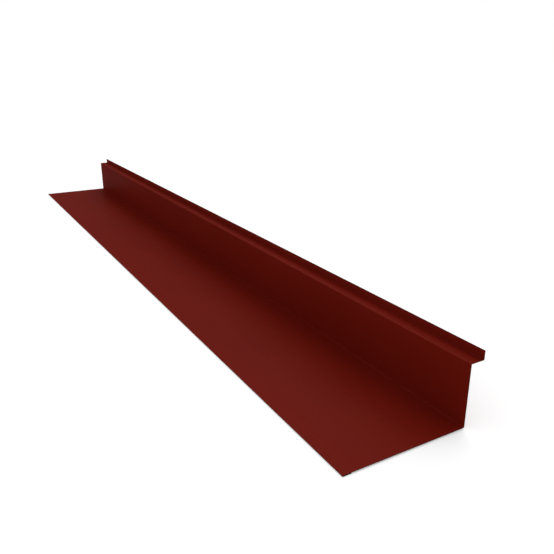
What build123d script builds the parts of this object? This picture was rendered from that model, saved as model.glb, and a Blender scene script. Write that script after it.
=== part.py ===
from build123d import *
import os

# A side flashing: one strip of coated sheet steel, folded lengthwise for the line where a
# roof runs along a wall. From the roof to the wall its section is a hem turned under, a
# wide roof flange, an upstand, a narrow shelf and a short lip.
# +X runs along the strip, +Y points from the roof to the wall, +Z is up.

# Driving dimensions, millimetres. The legs are measured on the weather face, which is the
# flange's upper face, the upstand's roof side, the shelf's upper face and the lip's roof side.
length = 2000.0
sheet = 0.6
flange_width = 220.0  # hem's outer edge to the upstand
upstand_height = 105.0  # flange to shelf
shelf_depth = 25.0  # upstand to lip
lip_height = 15.0  # shelf to the lip's top edge
hem_width = 15.0  # hem's outer edge to its cut edge
hem_gap = 0.85  # slot left inside the folded hem
bend_radius = 1.0  # inside radius of the bends along upstand and shelf

# Radii on the far side of a bend, and of the hem's fold.
outer_radius = bend_radius + sheet
fold_inner = hem_gap / 2
fold_outer = fold_inner + sheet

# Heights of the weather face above the hem's underside, which is the lowest face.
flange_top = 2 * fold_outer
shelf_top = flange_top + upstand_height
lip_top = shelf_top + lip_height

# Depths across the strip, with the origin midway between the hem's outer edge and the lip's back.
hem_edge = -(flange_width + shelf_depth + sheet) / 2
upstand_face = hem_edge + flange_width
lip_face = upstand_face + shelf_depth
fold_line = hem_edge + fold_outer
hem_cut = hem_edge + hem_width


def weather_face():
    # From the hem's fold over the flange, up the upstand, across the shelf and up the lip.
    return FilletPolyline(
        (fold_line, flange_top),
        (upstand_face, flange_top),
        (upstand_face, shelf_top),
        (lip_face, shelf_top),
        (lip_face, lip_top),
        radius=[bend_radius, outer_radius, bend_radius],
    )


def reverse_face():
    # One sheet thickness behind the weather face, from the lip's top back to the hem's cut edge.
    return FilletPolyline(
        (lip_face + sheet, lip_top),
        (lip_face + sheet, shelf_top - sheet),
        (upstand_face + sheet, shelf_top - sheet),
        (upstand_face + sheet, flange_top - sheet),
        (hem_cut, flange_top - sheet),
        radius=[outer_radius, bend_radius, outer_radius],
    )


def hem_fold(radius):
    # Half a turn under the flange's free edge, from top to bottom.
    return CenterArc((fold_line, fold_outer), radius, 90, 180)


def flashing_section():
    with BuildSketch(Plane.YZ.offset(-length / 2)) as section:
        with BuildLine():
            weather = weather_face()
            reverse = reverse_face()
            Line(weather @ 1, reverse @ 0)
            # The flange's underside is open up to the hem's cut edge, and goes on inside the hem.
            inside = hem_fold(fold_inner)
            outside = hem_fold(fold_outer)
            Line(reverse @ 1, inside @ 0)
            Polyline(inside @ 1, (hem_cut, sheet), (hem_cut, 0), outside @ 1)
        make_face()
    return section.sketch


def side_flashing():
    # The open part of the flange's underside stays a face of its own.
    return extrude(flashing_section(), amount=length, clean=False)


os.makedirs("parts", exist_ok=True)
export_step(side_flashing(), "parts/side_flashing.step")
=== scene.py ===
import bpy
from math import radians
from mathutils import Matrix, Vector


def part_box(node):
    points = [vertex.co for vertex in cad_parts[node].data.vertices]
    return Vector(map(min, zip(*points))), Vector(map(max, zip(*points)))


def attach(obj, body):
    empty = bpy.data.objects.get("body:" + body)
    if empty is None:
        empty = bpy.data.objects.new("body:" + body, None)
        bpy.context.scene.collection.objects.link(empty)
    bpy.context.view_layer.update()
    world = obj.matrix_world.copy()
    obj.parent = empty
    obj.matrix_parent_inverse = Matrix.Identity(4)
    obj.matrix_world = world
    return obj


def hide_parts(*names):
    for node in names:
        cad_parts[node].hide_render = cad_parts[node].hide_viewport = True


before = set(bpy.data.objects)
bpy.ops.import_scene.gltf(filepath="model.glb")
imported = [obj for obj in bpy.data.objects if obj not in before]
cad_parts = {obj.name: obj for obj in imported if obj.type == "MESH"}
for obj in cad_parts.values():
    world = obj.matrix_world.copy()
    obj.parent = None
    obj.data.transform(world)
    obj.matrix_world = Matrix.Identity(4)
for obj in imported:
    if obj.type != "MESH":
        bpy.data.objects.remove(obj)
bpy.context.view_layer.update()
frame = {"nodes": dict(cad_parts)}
low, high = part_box("side_flashing")
print("frame loaded:", ", ".join(frame["nodes"]))


def put(tree, socket, value):  # a socket is linked, a plain value is written in
    if isinstance(value, bpy.types.NodeSocket):
        tree.links.new(value, socket)
    else:
        socket.default_value = value


def addNode(tree, kind, inputs=None, **settings):
    node = tree.nodes.new(kind)
    for name, value in settings.items():
        setattr(node, name, value)
    for name, value in (inputs or {}).items():
        put(tree, node.inputs[name], value)
    return node


def mathNode(tree, operation, a, b=0.0):
    return addNode(tree, "ShaderNodeMath", {0: a, 1: b}, operation=operation).outputs[0]


def spreadNode(tree, value, fromLow, fromHigh, toLow=0.0, toHigh=1.0):
    limits = {"From Min": fromLow, "From Max": fromHigh, "To Min": toLow, "To Max": toHigh}
    return addNode(tree, "ShaderNodeMapRange", {"Value": value, **limits}).outputs[0]


def mixColour(tree, share, first, second):
    colours = {0: share, 6: first, 7: second}  # the colour sockets of a mix node, whose names repeat
    return addNode(tree, "ShaderNodeMix", colours, data_type="RGBA").outputs[2]


def bumpNode(tree, height, strength, depth):
    bump = {"Height": height, "Strength": strength, "Distance": depth}
    return addNode(tree, "ShaderNodeBump", bump).outputs[0]


# sheet grain: what rolling and roller coating leave in a surface, for the coat and the cut edges

sheetGrain = {
    "Streak scale": 70.0,  # lines across the strip
    "Streak stretch": 0.015,  # along over across
    "Streak detail": 4.0,
    "Peel scale": 1400.0,  # fine wrinkle of the dried coat
    "Peel detail": 3.0,
    "Cloud scale": 4.0,  # slow drift of tone
    "Cloud detail": 3.0,
}
grainMiddle = (0.35, 0.65)  # where most of a grain's values lie


def makeSheetGrain():
    group = bpy.data.node_groups.new("sheetGrain", "ShaderNodeTree")
    face = group.interface
    face.new_socket("Vector", in_out="INPUT", socket_type="NodeSocketVector")
    for name, value in sheetGrain.items():
        face.new_socket(name, in_out="INPUT", socket_type="NodeSocketFloat").default_value = value
    for name in ("Streak", "Peel", "Cloud"):
        face.new_socket(name, in_out="OUTPUT", socket_type="NodeSocketFloat")
    given = group.nodes.new("NodeGroupInput").outputs
    result = group.nodes.new("NodeGroupOutput").inputs
    place = given["Vector"]
    stretch = {"X": given["Streak stretch"], "Y": 1.0, "Z": 1.0}
    stretch = addNode(group, "ShaderNodeCombineXYZ", stretch).outputs[0]
    drawn = addNode(group, "ShaderNodeVectorMath", {0: place, 1: stretch}, operation="MULTIPLY")
    for name, vector in (("Streak", drawn.outputs[0]), ("Peel", place), ("Cloud", place)):
        noise = {"Vector": vector, "Scale": given[name + " scale"], "Detail": given[name + " detail"]}
        put(group, result[name], addNode(group, "ShaderNodeTexNoise", noise).outputs[0])
    return group


def startMaterial(name, grain, grainSizes):
    material = bpy.data.materials.new(name)
    material.use_nodes = True
    tree = material.node_tree
    sheet = addNode(tree, "ShaderNodeGroup", node_tree=grain)
    put(tree, sheet.inputs["Vector"], addNode(tree, "ShaderNodeTexCoord").outputs["Object"])
    for socket, value in grainSizes.items():
        put(tree, sheet.inputs[socket], value)
    return material, tree, tree.nodes["Principled BSDF"].inputs, sheet.outputs


# red coat: matte oxide-red paint, roller coated on the coil before folding

redCoat = {
    "deep": (0.127, 0.0066, 0.0029, 1.0),
    "pale": (0.140, 0.0079, 0.0036, 1.0),
    "stretched": (0.150, 0.0106, 0.0052, 1.0),  # round the outside of the bends
    "stretchShare": 0.35,
    "cloudShare": 0.6,  # slow drift in the tone, the rest is roller streaks
    "speckAndShade": (0.87, 1.13),  # painted shade in the wrinkle's hollows and painted highlight on its crests, over a random grain of tone
    "rough": (0.74, 0.86),
    "specular": 0.0005,  # the paint's own gloss, under the film
    "film": 0.043,  # faint gloss of the coat's closed skin
    "filmRough": 0.4,
    "peel": (1.0, 0.00018),  # bump strength and depth
    "grain": sheetGrain,
}


def makeRedCoat(grain):
    material, tree, paint, sheet = startMaterial("redCoat", grain, redCoat["grain"])
    cloud = mathNode(tree, "MULTIPLY", sheet["Cloud"], redCoat["cloudShare"])
    streak = mathNode(tree, "MULTIPLY", sheet["Streak"], 1.0 - redCoat["cloudShare"])
    tone = spreadNode(tree, mathNode(tree, "ADD", cloud, streak), *grainMiddle)
    flat = mixColour(tree, tone, redCoat["deep"], redCoat["pale"])
    # the coat's tone follows the wrinkle's bump: painted shade in its hollows, painted highlight on its
    # crests
    speckAndShade = spreadNode(tree, sheet["Peel"], *grainMiddle, *redCoat["speckAndShade"])
    flat = addNode(tree, "ShaderNodeHueSaturation", {"Value": speckAndShade, "Color": flat}).outputs[0]
    fold = addNode(tree, "ShaderNodeAttribute", attribute_name="stretched").outputs["Fac"]
    thin = mathNode(tree, "MULTIPLY", fold, redCoat["stretchShare"])
    put(tree, paint["Base Color"], mixColour(tree, thin, flat, redCoat["stretched"]))
    put(tree, paint["Roughness"], spreadNode(tree, sheet["Streak"], *grainMiddle, *redCoat["rough"]))
    put(tree, paint["Specular IOR Level"], redCoat["specular"])
    put(tree, paint["Coat Weight"], redCoat["film"])
    put(tree, paint["Coat Roughness"], redCoat["filmRough"])
    put(tree, paint["Normal"], bumpNode(tree, sheet["Peel"], *redCoat["peel"]))
    return material


# cut edge: sheared steel gone dull, coloured near black as painted shade, with a little coat dragged
# over it

cutEdge = {
    # painted shade: both tones keep the thin cut faces near black, darker than bare steel
    "dark": (0.006, 0.003, 0.0025, 1.0),
    "pale": (0.020, 0.008, 0.006, 1.0),
    "metallic": 0.3,
    "rough": (0.55, 0.75),
    "specular": 0.1,
    "shear": (0.5, 0.00003),  # bump strength and depth
    "grain": {"Streak scale": 1500.0, "Streak stretch": 0.4, "Cloud scale": 60.0},
}


def makeCutEdge(grain):
    material, tree, steel, sheet = startMaterial("cutEdge", grain, cutEdge["grain"])
    tone = spreadNode(tree, sheet["Cloud"], *grainMiddle)
    put(tree, steel["Base Color"], mixColour(tree, tone, cutEdge["dark"], cutEdge["pale"]))
    put(tree, steel["Roughness"], spreadNode(tree, sheet["Streak"], *grainMiddle, *cutEdge["rough"]))
    put(tree, steel["Metallic"], cutEdge["metallic"])
    put(tree, steel["Specular IOR Level"], cutEdge["specular"])
    put(tree, steel["Normal"], bumpNode(tree, sheet["Streak"], *cutEdge["shear"]))
    return material


grain = makeSheetGrain()
coatMaterial = makeRedCoat(grain)
edgeMaterial = makeCutEdge(grain)
print("materials ready: red coat and cut edge")


# folded strip: the section's corners, rounded at the bends and swept from end to end

foldedStrip = {
    "Left end": low[0],
    "Right end": high[0],
    "Roof edge": low[1],
    "Wall edge": high[1],
    "Top": high[2],
    "Sheet": 0.0006,
    "Shelf": 0.025,
    "Lip": 0.015,
    "Hem": 0.015,
    "Hem gap": 0.00085,
    "Bend": 0.001,
    "Bend points": 10,
    "Bays": 50,  # along the length
}
weldReach = 0.000002  # points closer than this are one
slantLeast = 0.01  # a face leaning more than this is in a bend
endFacing = 0.5  # a face looking along the strip more than this is a cut end
creaseAngle = 1.0  # radians, only the cut edges are sharper
flatPull = 100  # how strongly the wide flats set the shading beside them


def sectionCorners(tree, size):  # depth, height and rounding, from the hem's cut edge round the section
    def add(a, b):
        return mathNode(tree, "ADD", a, b)

    def less(a, b):
        return mathNode(tree, "SUBTRACT", a, b)

    sheet, bend = size["Sheet"], size["Bend"]
    foldIn = mathNode(tree, "MULTIPLY", size["Hem gap"], 0.5)
    foldOut = add(foldIn, sheet)
    bendOut = add(bend, sheet)
    flangeTop = add(foldOut, foldOut)
    flangeUnder = less(flangeTop, sheet)
    lipTop = size["Top"]
    shelfTop = less(lipTop, size["Lip"])
    shelfUnder = less(shelfTop, sheet)
    hemEdge = size["Roof edge"]
    hemInside = add(hemEdge, sheet)
    hemCut = add(hemEdge, size["Hem"])
    lipBack = size["Wall edge"]
    lipFace = less(lipBack, sheet)
    upFace = less(lipFace, size["Shelf"])
    upBack = add(upFace, sheet)
    return [
        (hemCut, sheet, 0.0),
        (hemInside, sheet, foldIn),
        (hemInside, flangeUnder, foldIn),
        (upBack, flangeUnder, bendOut),
        (upBack, shelfUnder, bend),
        (lipBack, shelfUnder, bendOut),
        (lipBack, lipTop, 0.0),
        (lipFace, lipTop, 0.0),
        (lipFace, shelfTop, bend),
        (upFace, shelfTop, bendOut),
        (upFace, flangeTop, bend),
        (hemEdge, flangeTop, foldOut),
        (hemEdge, 0.0, foldOut),
        (hemCut, 0.0, 0.0),
    ]


def makeSection(tree, size):
    corners = sectionCorners(tree, size)
    index = addNode(tree, "GeometryNodeInputIndex").outputs[0]
    place = addNode(tree, "GeometryNodeIndexSwitch", data_type="VECTOR")
    rounding = addNode(tree, "GeometryNodeIndexSwitch", data_type="FLOAT")
    for switch in (place, rounding):
        put(tree, switch.inputs["Index"], index)
        while len(switch.index_switch_items) < len(corners):
            switch.index_switch_items.new()
    for number, (across, up, radius) in enumerate(corners, 1):
        corner = addNode(tree, "ShaderNodeCombineXYZ", {"X": across, "Y": up}).outputs[0]
        put(tree, place.inputs[number], corner)
        put(tree, rounding.inputs[number], radius)
    ring = addNode(tree, "GeometryNodeCurvePrimitiveCircle", {"Resolution": len(corners)}).outputs[0]
    outline = {"Geometry": ring, "Position": place.outputs[0]}
    outline = addNode(tree, "GeometryNodeSetPosition", outline).outputs[0]
    marked = addNode(tree, "GeometryNodeCaptureAttribute")
    marked.capture_items.new("BOOLEAN", "cutCorner")
    put(tree, marked.inputs["Geometry"], outline)
    put(tree, marked.inputs["cutCorner"], mathNode(tree, "LESS_THAN", rounding.outputs[0], weldReach))
    bends = {"Curve": marked.outputs["Geometry"], "Radius": rounding.outputs[0], "Limit Radius": True}
    bends["Count"] = size["Bend points"]
    section = addNode(tree, "GeometryNodeFilletCurve", bends, mode="POLY").outputs[0]
    return section, marked.outputs["cutCorner"]


def sweepSection(tree, size, section):
    start = addNode(tree, "ShaderNodeCombineXYZ", {"X": size["Left end"]}).outputs[0]
    end = addNode(tree, "ShaderNodeCombineXYZ", {"X": size["Right end"]}).outputs[0]
    line = addNode(tree, "GeometryNodeCurvePrimitiveLine", {"Start": start, "End": end}).outputs[0]
    points = mathNode(tree, "ADD", size["Bays"], 1.0)
    rail = addNode(tree, "GeometryNodeResampleCurve", {"Curve": line, "Count": points}).outputs[0]
    upright = {"Curve": rail, "Normal": (0.0, 1.0, 0.0)}
    upright = addNode(tree, "GeometryNodeSetCurveNormal", upright, mode="FREE").outputs[0]
    swept = {"Curve": upright, "Profile Curve": section, "Fill Caps": True}
    swept = addNode(tree, "GeometryNodeCurveToMesh", swept).outputs[0]
    welded = {"Geometry": swept, "Distance": weldReach}
    return addNode(tree, "GeometryNodeMergeByDistance", welded).outputs[0]


def shadeBends(tree, mesh):  # round over the bends, crisp at the cut edges
    smooth = {"Geometry": mesh, "Shade Smooth": True}
    smooth = addNode(tree, "GeometryNodeSetShadeSmooth", smooth, domain="FACE").outputs[0]
    angle = addNode(tree, "GeometryNodeInputMeshEdgeAngle").outputs["Unsigned Angle"]
    sharp = mathNode(tree, "GREATER_THAN", angle, creaseAngle)
    crisp = {"Geometry": smooth, "Selection": sharp, "Shade Smooth": False}
    return addNode(tree, "GeometryNodeSetShadeSmooth", crisp, domain="EDGE").outputs[0]


def markStretched(tree, facing, mesh):  # faces round the outside of a bend
    lean = mathNode(tree, "ABSOLUTE", mathNode(tree, "MULTIPLY", facing["Y"], facing["Z"]))
    bent = mathNode(tree, "GREATER_THAN", lean, slantLeast)
    angle = addNode(tree, "GeometryNodeInputMeshEdgeAngle").outputs["Signed Angle"]
    outside = mathNode(tree, "MULTIPLY", bent, mathNode(tree, "GREATER_THAN", angle, 0.0))
    marks = {"Geometry": mesh, "Name": "stretched", "Value": outside}
    return addNode(tree, "GeometryNodeStoreNamedAttribute", marks, domain="FACE").outputs[0]


def finishFaces(tree, size, mesh, cutCorner):
    normal = addNode(tree, "GeometryNodeInputNormal").outputs[0]
    facing = addNode(tree, "ShaderNodeSeparateXYZ", {0: normal}).outputs
    endCap = mathNode(tree, "GREATER_THAN", mathNode(tree, "ABSOLUTE", facing["X"]), endFacing)
    cut = addNode(tree, "FunctionNodeBooleanMath", {0: endCap, 1: cutCorner}, operation="OR").outputs[0]
    marked = markStretched(tree, facing, mesh)
    whole = addNode(tree, "GeometryNodeRealizeInstances", {"Geometry": marked}).outputs[0]
    coated = {"Geometry": whole, "Material": size["Coat"]}
    coated = addNode(tree, "GeometryNodeSetMaterial", coated).outputs[0]
    edged = {"Geometry": coated, "Selection": cut, "Material": size["Cut"]}
    return addNode(tree, "GeometryNodeSetMaterial", edged).outputs[0]


def makeStripTree():
    tree = bpy.data.node_groups.new("foldedStripTree", "GeometryNodeTree")
    face = tree.interface
    for name, value in foldedStrip.items():
        kind = "NodeSocketInt" if isinstance(value, int) else "NodeSocketFloat"
        face.new_socket(name, in_out="INPUT", socket_type=kind)
    for name in ("Coat", "Cut"):
        face.new_socket(name, in_out="INPUT", socket_type="NodeSocketMaterial")
    face.new_socket("Geometry", in_out="OUTPUT", socket_type="NodeSocketGeometry")
    size = tree.nodes.new("NodeGroupInput").outputs
    section, cutCorner = makeSection(tree, size)
    mesh = shadeBends(tree, sweepSection(tree, size, section))
    done = finishFaces(tree, size, mesh, cutCorner)
    put(tree, tree.nodes.new("NodeGroupOutput").inputs[0], done)
    return tree


def makeFoldedStrip():
    tree = makeStripTree()
    strip = bpy.data.objects.new("foldedStrip", bpy.data.meshes.new("foldedStrip"))
    bpy.context.scene.collection.objects.link(strip)
    sweep = strip.modifiers.new("sweep", "NODES")
    sweep.node_group = tree
    values = dict(foldedStrip, Coat=coatMaterial, Cut=edgeMaterial)
    for item in tree.interface.items_tree:
        if item.in_out == "INPUT":
            sweep[item.identifier] = values[item.name]
    even = strip.modifiers.new("even", "WEIGHTED_NORMAL")  # flats stay flat beside their bends
    even.weight = flatPull
    even.keep_sharp = True
    graph = bpy.context.evaluated_depsgraph_get()
    mesh = bpy.data.meshes.new_from_object(strip.evaluated_get(graph))
    strip.modifiers.clear()
    strip.data = mesh
    print("strip swept:", len(mesh.vertices), "points,", len(mesh.polygons), "faces")
    return strip


strip = makeFoldedStrip()
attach(strip, "root")
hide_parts("side_flashing")


# studio: pale floor that keeps a soft shadow, white all round, a wide soft lamp over the wall side

studio = {
    "floorReach": 80.0,
    "floorDrop": 0.0002,  # just clear of the hem
    "floorGrey": 0.8,
    "floorTopUp": 0.25,  # only for what the camera, mirrors and glass see
    "white": 1.0,
    "fill": 0.76,
    "lamp": 1.3,
    "lampTip": 50.0,  # degrees from straight overhead towards the wall side
    "lampTurn": 35.0,  # degrees from there towards the left end
    "lampWidth": 60.0,
}


def seenRays(tree):
    path = addNode(tree, "ShaderNodeLightPath").outputs
    direct = mathNode(tree, "MAXIMUM", path["Is Camera Ray"], path["Is Glossy Ray"])
    return mathNode(tree, "MAXIMUM", direct, path["Is Transmission Ray"])


def makeFloor():
    level = (0.0, 0.0, -studio["floorDrop"])
    bpy.ops.mesh.primitive_plane_add(size=studio["floorReach"], location=level)
    floor = bpy.context.object
    floor.name = "floor"
    material = bpy.data.materials.new("paleFloor")
    material.use_nodes = True
    tree = material.node_tree
    tree.nodes.clear()
    grey = (studio["floorGrey"],) * 3 + (1.0,)
    matte = addNode(tree, "ShaderNodeBsdfDiffuse", {"Color": grey}).outputs[0]
    topUp = mathNode(tree, "MULTIPLY", seenRays(tree), studio["floorTopUp"])
    glow = addNode(tree, "ShaderNodeEmission", {"Strength": topUp}).outputs[0]
    both = addNode(tree, "ShaderNodeAddShader", {0: matte, 1: glow}).outputs[0]
    addNode(tree, "ShaderNodeOutputMaterial", {"Surface": both})
    floor.data.materials.append(material)


def makeSurroundings():
    world = bpy.data.worlds.new("whiteRoom")
    bpy.context.scene.world = world
    world.use_nodes = True
    tree = world.node_tree
    tree.nodes.clear()
    level = spreadNode(tree, seenRays(tree), 0.0, 1.0, studio["fill"], studio["white"])
    room = {"Color": (1.0, 1.0, 1.0, 1.0), "Strength": level}
    room = addNode(tree, "ShaderNodeBackground", room).outputs[0]
    addNode(tree, "ShaderNodeOutputWorld", {"Surface": room})


def makeLamp():
    data = bpy.data.lights.new("wideLamp", "SUN")
    data.energy = studio["lamp"]
    data.angle = radians(studio["lampWidth"])
    lamp = bpy.data.objects.new("wideLamp", data)
    bpy.context.scene.collection.objects.link(lamp)
    lamp.rotation_euler = (radians(-studio["lampTip"]), 0.0, radians(studio["lampTurn"]))


makeFloor()
makeSurroundings()
makeLamp()
print("studio ready")


# camera: where the picture was taken from, worked out from the strip's outline

viewpoint = {
    "place": (1.5249, -0.5243, 0.5166),
    "turn": 60.02,  # degrees, from looking along +Y towards -X
    "tip": 19.97,  # degrees below level
    "lens": 39.376,
    "sensor": 36.0,
    "reach": 200.0,
}


def makeCamera():
    data = bpy.data.cameras.new("camera")
    data.sensor_width = viewpoint["sensor"]
    data.lens = viewpoint["lens"]
    data.clip_end = viewpoint["reach"]
    camera = bpy.data.objects.new("camera", data)
    bpy.context.scene.collection.objects.link(camera)
    camera.location = viewpoint["place"]
    camera.rotation_euler = (radians(90.0 - viewpoint["tip"]), 0.0, radians(viewpoint["turn"]))
    bpy.context.scene.camera = camera


makeCamera()
bpy.context.scene.view_settings.view_transform = "Standard"
print("camera ready")
